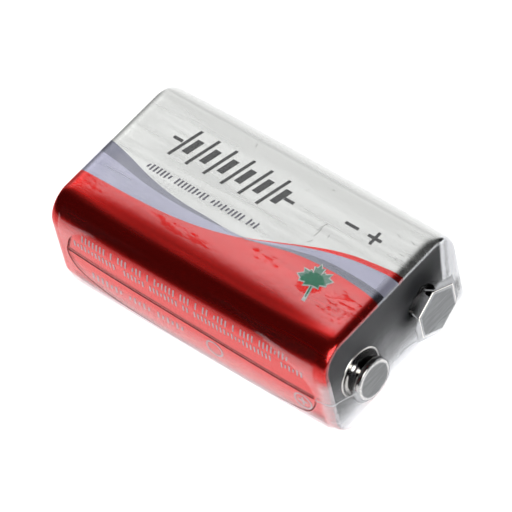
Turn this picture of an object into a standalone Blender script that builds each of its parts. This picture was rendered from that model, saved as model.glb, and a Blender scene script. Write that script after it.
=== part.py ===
"""Nine volt battery: six flat zinc-carbon cells stacked in a steel jacket.

Metres, +Z up.  The battery lies on a broad face with its snap terminals
towards +X.  The origin is the middle of the underside.
"""
import math

import bmesh
import bpy
from mathutils import Vector
from mathutils.geometry import delaunay_2d_cdt

# Clear film that is shrunk round the battery, turned in over the base end and
# drawn over the terminal end up to the rims of the two snaps
film_wall = 0.00008
film_gap = 0.00008
film_stud_drop = 0.00025
film_crown_drop = 0.00020
film_mesh_size = 0.0016
film_rim_offsets = (0.0006, 0.0015)
film_relax_rounds = 150

# Printed steel jacket, its ends crimped in over the end plates
jacket_length = 0.0457
jacket_width = 0.0255
jacket_thickness = 0.0165
jacket_corner = 0.0040
jacket_swell = 0.0003
jacket_wall = 0.00025
jacket_crimp_length = 0.0015
jacket_crimp_depth = 0.00045
jacket_lip = 0.00035
seam_width = 0.0022
seam_step = 0.00010

# Insulating parts round the stack
liner_wall = 0.00025
plate_thickness = 0.0010
plate_taper_height = 0.0009
plate_taper_inset = 0.00025
bottom_pad_thickness = 0.0010
top_pad_thickness = 0.0032
sleeve_wall = 0.00015
sleeve_turn_in = 0.0015

# Flat cells: they fill the room between the pads, less these clearances to the jacket
cell_count = 6
cell_side_room = 0.00125
cell_face_room = 0.0015
cell_corner = 0.0025
envelope_wall = 0.00020
envelope_lip = 0.0016
zinc_thickness = 0.00060
separator_wall = 0.00025
separator_rim = 0.0026
boss_inset = 0.0024

# Snap terminals, each set in from its side of the jacket; 12.7 mm apart
stud_side_room = 0.0059
crown_side_room = 0.0069
snap_metal = 0.00030
stud_rise = 0.00245
stud_head_radius = 0.00285
stud_neck_radius = 0.00245
stud_flange_radius = 0.0036
stud_head_height = 0.0011
crown_rise = 0.0021
crown_mouth_radius = 0.0039
crown_base_radius = 0.0034
crown_waist_radius = 0.00325
crown_waist_rise = 0.0008
rivet_radius = 0.0014
rivet_wall = 0.00030
rivet_head_radius = 0.0020
rivet_clinch_radius = 0.0020

# Contact strips
strip_width = 0.0050
strip_thickness = 0.00020
strip_eye_radius = 0.0030
contact_thickness = 0.00030
contact_inset = 0.0012

# Clearances: between layers, between touching stack members, round a rivet
layer_gap = 0.00010
stack_gap = 0.00005
rivet_gap = 0.00010

# Facets of round corners and of turned pieces
corner_steps = 7
cell_corner_steps = 4
crimp_steps = 5
swell_steps = 8
turned_steps = 36
hex_steps = 4

# Overall box and the plane of the terminals
film_skin = film_gap + film_wall
total_length = jacket_length + stud_rise + film_skin
total_thickness = jacket_thickness + 2 * film_skin
middle_z = total_thickness / 2
jacket_base_x = -total_length / 2 + film_skin
jacket_end_x = jacket_base_x + jacket_length
positive_y = stud_side_room - jacket_width / 2
negative_y = jacket_width / 2 - crown_side_room

# Stations along X from the base end up to the first cell
base_under_x = jacket_base_x + jacket_wall + stack_gap
base_top_x = base_under_x + plate_thickness
bottom_pad_x = base_top_x + stack_gap
strip_low_x = bottom_pad_x + bottom_pad_thickness + stack_gap
stack_x = strip_low_x + strip_thickness + layer_gap

# Stations along X from the terminal end down to the last cell
plate_top_x = jacket_end_x - jacket_wall - stack_gap
plate_under_x = plate_top_x - plate_thickness
tab_top_x = plate_under_x - stack_gap
clinch_x = tab_top_x - strip_thickness - stack_gap - rivet_wall
pad_top_x = clinch_x - layer_gap
pad_under_x = pad_top_x - top_pad_thickness
tab_foot_x = pad_under_x - layer_gap - strip_thickness
contact_x = tab_foot_x - layer_gap - contact_thickness
boss_rise = layer_gap + envelope_wall
stack_top_x = contact_x - stack_gap - boss_rise

# Size of one cell
cell_pitch = (stack_top_x + layer_gap - stack_x) / cell_count
cell_height = cell_pitch - layer_gap
cell_width = jacket_width - 2 * cell_side_room
cell_thickness = jacket_thickness - 2 * cell_face_room


def clear_scene():
    """Empty the scene, so the script can run in any file."""
    for obj in list(bpy.data.objects):
        bpy.data.objects.remove(obj, do_unlink=True)
    for collection in list(bpy.data.collections):
        bpy.data.collections.remove(collection)


def make_collection(name):
    """Add a collection to the scene."""
    collection = bpy.data.collections.new(name)
    bpy.context.scene.collection.children.link(collection)
    return collection


def make_material(name, colour, roughness, metallic=0.0, alpha=1.0):
    """Principled material of one colour."""
    material = bpy.data.materials.new(name)
    material.use_nodes = True
    shader = material.node_tree.nodes["Principled BSDF"]
    shader.inputs["Base Color"].default_value = (*colour, 1.0)
    shader.inputs["Roughness"].default_value = roughness
    shader.inputs["Metallic"].default_value = metallic
    shader.inputs["Alpha"].default_value = alpha
    return material


def add_object(name, mesh, material, collection):
    """Link a mesh as one named piece with smooth round faces."""
    obj = bpy.data.objects.new(name, mesh)
    collection.objects.link(obj)
    mesh.materials.append(material)
    mesh.shade_smooth()
    mesh.set_sharp_from_angle(angle=math.radians(35))
    return obj


def rounded_outline(width, height, radius, steps):
    """Points of a rounded rectangle in the YZ plane, anticlockwise from +X."""
    points = []
    for quarter in range(4):
        centre_y = (width / 2 - radius) * (1 if quarter in (0, 3) else -1)
        centre_z = (height / 2 - radius) * (1 if quarter in (0, 1) else -1)
        for step in range(steps + 1):
            angle = math.radians(90) * (quarter + step / steps)
            y = centre_y + radius * math.cos(angle)
            z = centre_z + radius * math.sin(angle)
            points.append((y, z))
    return points


def swell_at(x):
    """How far each narrow side of the jacket swells out at x: most at mid length."""
    share = (x - (jacket_base_x + jacket_end_x) / 2) / (jacket_length / 2 - jacket_crimp_length)
    return jacket_swell * max(0.0, 1 - share * share)


def jacket_outline(inset, swell=0.0):
    """Outline of the jacket moved inwards, or outwards where inset is below zero."""
    width = jacket_width + 2 * swell - 2 * inset
    height = jacket_thickness - 2 * inset
    return rounded_outline(width, height, jacket_corner - inset, corner_steps)


def cell_outline(inset):
    """Outline of a flat cell moved inwards."""
    radius = max(cell_corner - inset, cell_corner / 4)
    return rounded_outline(cell_width - 2 * inset, cell_thickness - 2 * inset, radius, cell_corner_steps)


def hexagon_outline(radius, steps=hex_steps):
    """Hexagon with corners up and down the thickness, each side cut in steps."""
    points = []
    for side in range(6):
        start = math.radians(60 * side + 30)
        end = math.radians(60 * side + 90)
        for step in range(steps):
            share = step / steps
            y = radius * ((1 - share) * math.cos(start) + share * math.cos(end))
            z = radius * ((1 - share) * math.sin(start) + share * math.sin(end))
            points.append((y, z))
    return points


def circle_outline(radius, steps=hex_steps):
    """Circle with one point for each point of the hexagon outline."""
    points = []
    for y, z in hexagon_outline(1.0, steps):
        length = math.hypot(y, z)
        points.append((radius * y / length, radius * z / length))
    return points


def join_rings(bm, ring, following):
    """Faces between two rings of as many points."""
    for i in range(len(ring)):
        j = (i + 1) % len(ring)
        bm.faces.new((ring[i], ring[j], following[j], following[i]))


def add_rings(bm, sections, y, z):
    """Rings of points through (x, outline) sections, with faces between them."""
    rings = []
    for x, outline in sections:
        rings.append([bm.verts.new((x, y + across, z + up)) for across, up in outline])
    for ring, following in zip(rings, rings[1:]):
        join_rings(bm, ring, following)
    return rings


def finished_mesh(name, bm):
    """Mesh from a closed bmesh, faces pointing out."""
    bmesh.ops.recalc_face_normals(bm, faces=bm.faces)
    mesh = bpy.data.meshes.new(name)
    bm.to_mesh(mesh)
    bm.free()
    return mesh


def loft(name, sections, closed, y=0.0, z=None):
    """Mesh through (x, outline) sections: a capped solid, or a ring if closed."""
    bm = bmesh.new()
    rings = add_rings(bm, sections, y, middle_z if z is None else z)
    if closed:
        join_rings(bm, rings[-1], rings[0])
    else:
        bm.faces.new(rings[0])
        bm.faces.new(rings[-1])
    return finished_mesh(name, bm)


def turned(name, profile, x, y, material, collection):
    """Piece turned about an X axis; profile is (radius, height) pairs."""
    mesh = bpy.data.meshes.new(name)
    verts = [(radius, 0.0, height) for radius, height in profile]
    edges = [(i, i + 1) for i in range(len(profile) - 1)]
    if profile[0][0] > 0:
        edges.append((len(profile) - 1, 0))
    mesh.from_pydata(verts, edges, [])
    obj = add_object(name, mesh, material, collection)
    obj.location = (x, y, middle_z)
    obj.rotation_euler = (0.0, math.radians(90), 0.0)
    screw = obj.modifiers.new("turn", "SCREW")
    screw.axis = "Z"
    screw.steps = turned_steps
    screw.render_steps = turned_steps
    screw.use_merge_vertices = True
    screw.merge_threshold = 0.00001
    return obj


def cutter(name, mesh, collection):
    """Hidden solid used by a Boolean."""
    obj = bpy.data.objects.new(name, mesh)
    collection.objects.link(obj)
    obj.display_type = "WIRE"
    obj.hide_render = True
    return obj


def round_cutter(name, radius, x_low, x_high, y, collection):
    """Cylinder along X for a round hole."""
    bm = bmesh.new()
    bmesh.ops.create_cone(bm, cap_ends=True, segments=turned_steps,
                          radius1=radius, radius2=radius, depth=x_high - x_low)
    mesh = bpy.data.meshes.new(name)
    bm.to_mesh(mesh)
    bm.free()
    obj = cutter(name, mesh, collection)
    obj.location = ((x_low + x_high) / 2, y, middle_z)
    obj.rotation_euler = (0.0, math.radians(90), 0.0)
    return obj


def combine(obj, tool, operation):
    """Boolean of one object with another."""
    boolean = obj.modifiers.new(tool.name, "BOOLEAN")
    boolean.operation = operation
    boolean.solver = "EXACT"
    boolean.object = tool


def crimped_sections(x_low, x_high, inset, length, depth):
    """Jacket outlines whose ends curve in by depth over length, from end to end."""
    ends = []
    for step in range(crimp_steps + 1):
        angle = math.radians(90) * step / crimp_steps
        back = length * (1 - math.sin(angle))
        ends.append((back, jacket_outline(inset + depth * (1 - math.cos(angle)))))
    middle = []
    for step in range(1, swell_steps):
        x = x_low + length + (x_high - x_low - 2 * length) * step / swell_steps
        middle.append((x, jacket_outline(inset, swell_at(x))))
    low = [(x_low + back, outline) for back, outline in reversed(ends)]
    high = [(x_high - back, outline) for back, outline in ends]
    return low + middle + high


def strip(name, path, material, collection):
    """Folded strip of even width that follows a path in the XY plane."""
    bm = bmesh.new()
    low = [bm.verts.new((x, y, middle_z - strip_width / 2)) for x, y in path]
    high = [bm.verts.new((x, y, middle_z + strip_width / 2)) for x, y in path]
    for i in range(len(path) - 1):
        bm.faces.new((low[i], low[i + 1], high[i + 1], high[i]))
    mesh = bpy.data.meshes.new(name)
    bm.to_mesh(mesh)
    bm.free()
    obj = add_object(name, mesh, material, collection)
    solidify = obj.modifiers.new("sheet", "SOLIDIFY")
    solidify.thickness = strip_thickness
    solidify.offset = 0.0
    solidify.use_even_offset = True
    return obj


def build_jacket(parts, cutters, paint):
    """Steel sleeve whose ends are crimped in over the two end plates."""
    outer = crimped_sections(jacket_base_x, jacket_end_x, 0.0, jacket_crimp_length, jacket_crimp_depth)
    inner = crimped_sections(jacket_base_x + jacket_wall, jacket_end_x - jacket_wall, jacket_wall,
                             jacket_crimp_length - jacket_wall, jacket_crimp_depth - jacket_wall)
    lip = jacket_outline(jacket_crimp_depth + jacket_lip)
    sections = [(jacket_base_x, lip)] + outer + [(jacket_end_x, lip)]
    sections += [(jacket_end_x - jacket_wall, lip)] + inner[::-1] + [(jacket_base_x + jacket_wall, lip)]
    jacket = add_object("jacket", loft("jacket", sections, True), paint, parts)

    # Lap seam down the far narrow side: a shallow step that follows the swell
    groove_low = jacket_base_x + jacket_crimp_length
    groove_length = jacket_length - 2 * jacket_crimp_length
    sections = []
    for step in range(swell_steps + 1):
        x = groove_low + groove_length * step / swell_steps
        face_y = jacket_width / 2 + swell_at(x)
        low_z = -seam_width / 2
        sections.append((x, [(face_y - seam_step, low_z), (face_y + seam_step, low_z),
                             (face_y + seam_step, -low_z), (face_y - seam_step, -low_z)]))
    groove = cutter("seam_groove", loft("seam_groove", sections, False, 0.0, middle_z - seam_width), cutters)
    combine(jacket, groove, "DIFFERENCE")


def split_sides(ring):
    """Ring with points added along its long straight sides."""
    full = []
    for i, start in enumerate(ring):
        end = ring[(i + 1) % len(ring)]
        full.append(start)
        for pieces in range(math.ceil((end.co - start.co).length / film_mesh_size), 1, -1):
            edge = next(edge for edge in full[-1].link_edges if edge.other_vert(full[-1]) is end)
            full.append(bmesh.utils.edge_split(edge, full[-1], 1 / pieces)[1])
    return full


def tent_points(rims):
    """Points of the film between its edge and the rims: two rings round each rim, then a grid."""
    points = []
    for y, outline in rims:
        for offset, share in zip(film_rim_offsets, (outline, outline[::2])):
            for across, up in share:
                stretch = 1 + offset / math.hypot(across, up)
                points.append((y + across * stretch, up * stretch))
    reach_y = jacket_width / 2 - jacket_crimp_depth - jacket_lip
    reach_z = jacket_thickness / 2 - jacket_crimp_depth - jacket_lip
    for column in range(-8, 9):
        for row in range(-5, 6):
            y = column * film_mesh_size
            z = (row + column % 2 / 2) * film_mesh_size
            past_y = max(0.0, abs(y) - reach_y + jacket_corner)
            past_z = max(0.0, abs(z) - reach_z + jacket_corner)
            inside = min(reach_y - abs(y), reach_z - abs(z), jacket_corner - math.hypot(past_y, past_z))
            clear = min(math.hypot(y - rim_y, z) - outline[0][0] for rim_y, outline in rims)
            if inside > film_mesh_size / 2 and clear > film_rim_offsets[1] + film_mesh_size / 2:
                points.append((y, z))
    return points


def relax(loose):
    """Bring the loose points of the film to the heights at which their neighbours hold them."""
    pulls = []
    for vert in loose:
        ends = [edge.other_vert(vert) for edge in vert.link_edges]
        pulls.append([(end, 1 / math.hypot(end.co.y - vert.co.y, end.co.z - vert.co.z)) for end in ends])
    for sweep in range(film_relax_rounds):
        for vert, ends in zip(loose, pulls):
            vert.co.x = sum(end.co.x * pull for end, pull in ends) / sum(pull for end, pull in ends)


def draw_tent(bm, under_edge, top_edge, rims):
    """Film drawn tight from its turned-in edge to the rims; rims are (y, x, outline)."""
    edges = (split_sides(under_edge), split_sides(top_edge))
    loops = [[(vert.co.y, vert.co.z - middle_z) for vert in edges[1]]]
    loops += [[(y + across, up) for across, up in outline] for y, x, outline in rims]
    free = tent_points([(y, outline) for y, x, outline in rims])
    flat = [Vector(point) for loop in loops for point in loop] + [Vector(point) for point in free]
    borders = []
    inside_rims = []
    start = 0
    for loop in loops:
        borders += [(start + i, start + (i + 1) % len(loop)) for i in range(len(loop))]
        inside_rims.append(set(range(start, start + len(loop))))
        start += len(loop)
    made = delaunay_2d_cdt(flat, borders, [], 1, 1e-7)
    triangles = [[made[3][corner][0] for corner in face] for face in made[2]]
    triangles = [face for face in triangles if not any(rim.issuperset(face) for rim in inside_rims[1:])]
    rim_rings = []
    for edge, drop in zip(edges, (film_wall, 0.0)):
        sheet = list(edge)
        rings = []
        for (y, x, outline), loop in zip(rims, loops[1:]):
            rings.append([bm.verts.new((x - drop, across, middle_z + up)) for across, up in loop])
            sheet += rings[-1]
        rim_rings.append(rings)
        level = sum(vert.co.x for vert in sheet) / len(sheet)
        loose = [bm.verts.new((level, y, middle_z + z)) for y, z in free]
        sheet += loose
        for corners in triangles:
            bm.faces.new([sheet[corner] for corner in corners])
        relax(loose)
    for under_ring, top_ring in zip(*rim_rings):
        join_rings(bm, under_ring, top_ring)


def build_film(parts, clear):
    """Shrunk film: a thin skin over the jacket and the terminal end."""
    lip = jacket_outline(jacket_crimp_depth + jacket_lip)
    outer = crimped_sections(jacket_base_x - film_skin, jacket_end_x + film_skin, -film_skin,
                             jacket_crimp_length + film_skin, jacket_crimp_depth + film_skin)
    inner = crimped_sections(jacket_base_x - film_gap, jacket_end_x + film_gap, -film_gap,
                             jacket_crimp_length + film_gap, jacket_crimp_depth + film_gap)
    sections = [(jacket_end_x + film_gap, lip)] + inner[::-1] + [(jacket_base_x - film_gap, lip)]
    sections += [(jacket_base_x - film_skin, lip)] + outer + [(jacket_end_x + film_skin, lip)]
    bm = bmesh.new()
    rings = add_rings(bm, sections, 0.0, middle_z)
    round_rim = circle_outline(stud_head_radius + film_gap)
    six_sided_rim = hexagon_outline(crown_mouth_radius + film_gap / math.cos(math.radians(30)))
    rims = [(positive_y, jacket_end_x + stud_rise - film_stud_drop, round_rim),
            (negative_y, jacket_end_x + crown_rise - film_crown_drop, six_sided_rim)]
    draw_tent(bm, rings[0], rings[-1], rims)
    add_object("film_wrap", finished_mesh("film_wrap", bm), clear, parts)


def build_plates(parts, cutters, board, card):
    """End plates held under the crimped edges, with the liner between them."""
    wide = jacket_outline(jacket_wall + layer_gap)
    narrow = jacket_outline(jacket_wall + layer_gap + plate_taper_inset)
    top = [(plate_under_x, wide), (plate_top_x - plate_taper_height, wide), (plate_top_x, narrow)]
    terminal_plate = add_object("terminal_plate", loft("terminal_plate", top, False), board, parts)
    for name, y in (("positive_hole", positive_y), ("negative_hole", negative_y)):
        hole = round_cutter(name, rivet_radius + rivet_gap, plate_under_x - plate_thickness,
                            plate_top_x + plate_thickness, y, cutters)
        combine(terminal_plate, hole, "DIFFERENCE")

    base = [(base_under_x, narrow), (base_under_x + plate_taper_height, wide), (base_top_x, wide)]
    add_object("base_plate", loft("base_plate", base, False), board, parts)

    liner_outer = jacket_outline(jacket_wall + layer_gap)
    liner_inner = jacket_outline(jacket_wall + layer_gap + liner_wall)
    low = base_top_x + stack_gap
    high = plate_under_x - stack_gap
    liner = [(low, liner_outer), (high, liner_outer), (high, liner_inner), (low, liner_inner)]
    add_object("jacket_liner", loft("jacket_liner", liner, True), card, parts)


def build_pads(parts, card):
    """Card spacers that press the stack between the end plates."""
    sleeve_outline = cell_outline(-stack_gap - sleeve_wall)
    low = [(bottom_pad_x, sleeve_outline), (bottom_pad_x + bottom_pad_thickness, sleeve_outline)]
    add_object("bottom_pad", loft("bottom_pad", low, False), card, parts)

    # The upper pad leaves room for the tab that rises past its end
    pad_outline = cell_outline(contact_inset + strip_thickness + layer_gap)
    pad = [(pad_under_x, pad_outline), (pad_top_x, pad_outline)]
    add_object("top_pad", loft("top_pad", pad, False), card, parts)


def build_cell(number, parts, materials):
    """One flat cell: envelope, zinc plate, separator tray and mix cake."""
    low = stack_x + (number - 1) * cell_pitch
    high = low + cell_height
    prefix = "cell_%d_" % number

    # Envelope: a band whose two edges are shrunk in over the cell's faces
    outer = cell_outline(0.0)
    inner = cell_outline(envelope_wall)
    lip = cell_outline(envelope_lip)
    band = [(low, lip), (low, outer), (high, outer), (high, lip),
            (high - envelope_wall, lip), (high - envelope_wall, inner),
            (low + envelope_wall, inner), (low + envelope_wall, lip)]
    add_object(prefix + "envelope", loft(prefix + "envelope", band, True), materials["envelope"], parts)

    # Zinc plate at the bottom of the cell
    zinc_x = low + envelope_wall + stack_gap
    zinc = cell_outline(envelope_wall + layer_gap)
    add_object(prefix + "zinc_plate",
               loft(prefix + "zinc_plate", [(zinc_x, zinc), (zinc_x + zinc_thickness, zinc)], False),
               materials["zinc"], parts)

    # Separator tray whose rim stands round the cake
    tray_x = zinc_x + zinc_thickness + stack_gap
    floor_x = tray_x + separator_wall
    rim_x = tray_x + separator_rim
    tray_outer = cell_outline(envelope_wall + layer_gap)
    tray_inner = cell_outline(envelope_wall + layer_gap + separator_wall)
    tray = [(tray_x, tray_outer), (rim_x, tray_outer), (rim_x, tray_inner), (floor_x, tray_inner)]
    add_object(prefix + "separator", loft(prefix + "separator", tray, False), materials["separator"], parts)

    # Mix cake: a pressed block with a boss that reaches the next cell
    cake_x = floor_x + stack_gap
    shoulder_x = high - envelope_wall - stack_gap
    cake = cell_outline(envelope_wall + layer_gap + separator_wall + stack_gap)
    boss = cell_outline(boss_inset)
    body = [(cake_x, cake), (shoulder_x, cake), (shoulder_x, boss), (high + boss_rise, boss)]
    add_object(prefix + "mix_cake", loft(prefix + "mix_cake", body, False), materials["mix"], parts)


def build_sleeve(parts, plastic):
    """Thin sleeve shrunk round the whole stack, turned in over the last cell."""
    low = stack_x
    high = stack_top_x + stack_gap + sleeve_wall
    outer = cell_outline(-stack_gap - sleeve_wall)
    inner = cell_outline(-stack_gap)
    turn = cell_outline(sleeve_turn_in)
    band = [(low, outer), (high, outer), (high, turn), (high - sleeve_wall, turn),
            (high - sleeve_wall, inner), (low, inner)]
    add_object("stack_sleeve", loft("stack_sleeve", band, True), plastic, parts)


def build_contacts(parts, cutters, tin):
    """Contact plate on the stack and the two strips up to the rivets."""
    outline = cell_outline(contact_inset)
    plate = [(contact_x, outline), (contact_x + contact_thickness, outline)]
    add_object("positive_contact", loft("positive_contact", plate, False), tin, parts)

    # Positive tab: from the contact plate, up past the pad, to the stud's rivet
    half = strip_thickness / 2
    foot_x = tab_foot_x + half
    head_x = tab_top_x - half
    rise_y = -(cell_width / 2 - contact_inset - half)
    eye_y = positive_y + strip_eye_radius
    path = [(foot_x, positive_y), (foot_x, rise_y), (head_x, rise_y), (head_x, eye_y)]
    positive = strip("positive_tab", path, tin, parts)
    hole = round_cutter("positive_eye", rivet_radius + rivet_gap, head_x - 3 * strip_thickness,
                        head_x + 3 * strip_thickness, positive_y, cutters)
    combine(positive, hole, "DIFFERENCE")

    # Negative strip: from under the first cell, up the side, to the crown's rivet
    low_x = strip_low_x + half
    side_y = cell_width / 2 + stack_gap + sleeve_wall + layer_gap + half
    negative = strip("negative_strip", [(low_x, 0.0), (low_x, side_y), (head_x, side_y),
                                        (head_x, negative_y - strip_eye_radius)], tin, parts)
    hole = round_cutter("negative_eye", rivet_radius + rivet_gap, head_x - 3 * strip_thickness,
                        head_x + 3 * strip_thickness, negative_y, cutters)
    combine(negative, hole, "DIFFERENCE")


def build_rivet(name, y, parts, tin):
    """Tubular rivet: flange under the snap, barrel through the plate, clinched below."""
    top = plate_top_x + stack_gap + rivet_wall
    bottom = clinch_x
    bore = rivet_radius - rivet_wall
    profile = [(bore, top), (rivet_head_radius, top), (rivet_head_radius, top - rivet_wall),
               (rivet_radius, top - rivet_wall), (rivet_radius, bottom + rivet_wall),
               (rivet_clinch_radius, bottom + rivet_wall), (rivet_clinch_radius, bottom), (bore, bottom)]
    turned(name, profile, 0.0, y, tin, parts)


def build_stud(parts, nickel):
    """Positive snap: a drawn cap with an undercut neck and a flange on the plate."""
    foot = stack_gap
    top = jacket_end_x + stud_rise - plate_top_x
    head = stud_head_radius
    neck = stud_neck_radius
    metal = snap_metal
    round_in, round_down = metal / 4, metal / 3
    under_head = top - stud_head_height
    outside = [(0.0, top), (head - metal, top), (head - round_in, top - round_down), (head, top - metal),
               (head, under_head + metal), (head - round_in, under_head + round_down),
               (neck, under_head - metal), (neck, foot + 3 * metal),
               (neck + metal / 2, foot + 2 * metal), (neck + 2 * metal, foot + metal),
               (stud_flange_radius, foot + metal), (stud_flange_radius, foot)]
    inside = [(neck + metal / 2, foot), (neck - metal / 2, foot + 2 * metal),
              (neck - metal, foot + 3 * metal), (neck - metal, under_head),
              (head - metal, under_head + metal), (head - metal, top - metal - metal / 2),
              (head - metal - metal / 2, top - metal), (0.0, top - metal)]
    turned("positive_snap", outside + inside, plate_top_x, positive_y, nickel, parts)


def build_crown(parts, nickel):
    """Negative snap: a six-sided socket that is pinched in, then flares to its mouth."""
    foot = plate_top_x + stack_gap
    rim = jacket_end_x + crown_rise
    metal = snap_metal
    floor_x = foot + metal
    side = metal / math.cos(math.radians(30))
    rim_round = metal / 3
    waist_x = foot + crown_waist_rise
    hole = circle_outline(rivet_head_radius + rivet_gap)
    outside = [(foot, hexagon_outline(crown_base_radius)), (waist_x, hexagon_outline(crown_waist_radius)),
               (rim - metal, hexagon_outline(crown_mouth_radius)),
               (rim, hexagon_outline(crown_mouth_radius - rim_round))]
    inside = [(rim, hexagon_outline(crown_mouth_radius - side)),
              (rim - metal, hexagon_outline(crown_mouth_radius - side - rim_round)),
              (waist_x, hexagon_outline(crown_waist_radius - side)),
              (floor_x, hexagon_outline(crown_base_radius - side)), (floor_x, hole), (foot, hole)]
    add_object("negative_snap", loft("negative_snap", outside + inside, True, negative_y), nickel, parts)


def build():
    """Model every piece of the battery."""
    clear_scene()
    parts = make_collection("nine_volt_battery")
    cutters = make_collection("cutters")

    paint = make_material("printed_steel", (0.55, 0.03, 0.03), 0.25, 0.6)
    clear = make_material("clear_film", (0.9, 0.9, 0.9), 0.1, 0.0, 0.15)
    board = make_material("black_board", (0.03, 0.03, 0.035), 0.5)
    card = make_material("grey_card", (0.45, 0.38, 0.28), 0.9)
    plastic = make_material("sleeve_plastic", (0.8, 0.78, 0.7), 0.4)
    tin = make_material("tinplate", (0.7, 0.7, 0.7), 0.3, 1.0)
    nickel = make_material("nickel_plate", (0.75, 0.73, 0.7), 0.12, 1.0)
    cell_materials = {
        "envelope": make_material("cell_envelope", (0.85, 0.85, 0.82), 0.4),
        "zinc": make_material("zinc_sheet", (0.5, 0.52, 0.55), 0.45, 1.0),
        "separator": make_material("separator_paper", (0.8, 0.72, 0.55), 0.9),
        "mix": make_material("carbon_mix", (0.02, 0.02, 0.02), 0.95),
    }

    build_jacket(parts, cutters, paint)
    build_film(parts, clear)
    build_plates(parts, cutters, board, card)
    build_pads(parts, card)
    for number in range(1, cell_count + 1):
        build_cell(number, parts, cell_materials)
    build_sleeve(parts, plastic)
    build_contacts(parts, cutters, tin)
    build_rivet("positive_rivet", positive_y, parts, tin)
    build_rivet("negative_rivet", negative_y, parts, tin)
    build_stud(parts, nickel)
    build_crown(parts, nickel)


build()
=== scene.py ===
import math

import bmesh
import bpy
import numpy as np
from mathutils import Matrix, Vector


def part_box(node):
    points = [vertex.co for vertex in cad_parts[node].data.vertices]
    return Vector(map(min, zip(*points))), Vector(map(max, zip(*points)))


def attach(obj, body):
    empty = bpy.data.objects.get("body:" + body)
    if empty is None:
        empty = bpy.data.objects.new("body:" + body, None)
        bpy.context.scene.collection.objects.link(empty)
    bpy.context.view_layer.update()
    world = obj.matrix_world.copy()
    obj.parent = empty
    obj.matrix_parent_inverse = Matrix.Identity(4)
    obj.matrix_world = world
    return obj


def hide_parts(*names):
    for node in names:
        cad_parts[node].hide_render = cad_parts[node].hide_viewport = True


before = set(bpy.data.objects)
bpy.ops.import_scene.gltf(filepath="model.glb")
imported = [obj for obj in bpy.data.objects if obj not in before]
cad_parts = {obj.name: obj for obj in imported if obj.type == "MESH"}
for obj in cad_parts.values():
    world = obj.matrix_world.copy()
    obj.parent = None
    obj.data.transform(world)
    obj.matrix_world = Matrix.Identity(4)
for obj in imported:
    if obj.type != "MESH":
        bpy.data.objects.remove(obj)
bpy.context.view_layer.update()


# Camera: a long lens above the terminal end, turned so that the long edges of the
# battery run down to the right.
def new_object(name, data):
    """Object at the origin, in the scene."""
    made = bpy.data.objects.new(name, data)
    bpy.context.scene.collection.objects.link(made)
    return made


camera_data = bpy.data.cameras.new("camera")
camera_data.lens = 350.34
camera_data.sensor_width = 36.0
camera_data.clip_start = 0.02
camera = new_object("camera", camera_data)
camera.location = (0.31475, -0.24902, 0.48761)
camera.rotation_euler = [math.radians(angle) for angle in (39.103, 9.22, 40.611)]
scene = bpy.context.scene
scene.camera = camera
scene.view_settings.view_transform = "Standard"
scene.view_settings.look = "None"

# Floor: a round sheet of white paper, lit a little from below as on a light table.
# What the glossy sides mirror of it grows darker away from the battery.
def add_node(kind, inputs=None, tree=None, **settings):
    """Add a node, set its options, and set or link its inputs.  Its tree is found from the
    sockets among its inputs, and a bare kind is a shader node."""
    inputs = inputs or {}
    linked = {name for name, value in inputs.items() if isinstance(value, bpy.types.NodeSocket)}
    if tree is None:
        tree = inputs[min(linked, key=str)].id_data
    made = tree.nodes.new(kind if "Node" in kind else "ShaderNode" + kind)
    for name, value in settings.items():
        setattr(made, name, value)
    for name, value in inputs.items():
        if name in linked:
            tree.links.new(value, made.inputs[name])
        else:
            made.inputs[name].default_value = value
    return made


def maths(operation, *values, clamp=False):
    """Result of one Math node."""
    return add_node("Math", dict(enumerate(values)), operation=operation, use_clamp=clamp).outputs[0]


def plus(first, second):
    return maths("ADD", first, second)


def minus(first, second):
    return maths("SUBTRACT", first, second)


def times(first, *others):
    for other in others:
        first = maths("MULTIPLY", first, other)
    return first


def times_plus(first, factor, more):
    return maths("MULTIPLY_ADD", first, factor, more)


def larger(first, *others):
    for other in others:
        first = maths("MAXIMUM", first, other)
    return first


def mixed(mask, low, high):
    """Colour that changes from low to high with a mask."""
    return add_node("Mix", {0: mask, 6: low, 7: high}, data_type="RGBA").outputs[2]


def parts_of(place):
    """The x, y and z of a vector."""
    return list(add_node("SeparateXYZ", {0: place}).outputs)


def feed(shader, **values):
    """Link values to a shader; underscores in the socket names stand for spaces."""
    for name, value in values.items():
        value.id_data.links.new(value, shader.inputs[name.replace("_", " ")])


def finish_material(name, **sockets):
    """Principled material; underscores in the socket names stand for spaces."""
    material = bpy.data.materials.new(name)
    material.use_nodes = True
    tree = material.node_tree
    shader = tree.nodes["Principled BSDF"]
    for socket, value in sockets.items():
        shader.inputs[socket.replace("_", " ")].default_value = value
    return material, tree, shader


def mesh_from(bm, name, closed=True):
    """Mesh of an edit mesh, its faces turned outwards where it is closed."""
    if closed:
        bmesh.ops.recalc_face_normals(bm, faces=bm.faces)
    mesh = bpy.data.meshes.new(name)
    bm.to_mesh(mesh)
    bm.free()
    return mesh


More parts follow.
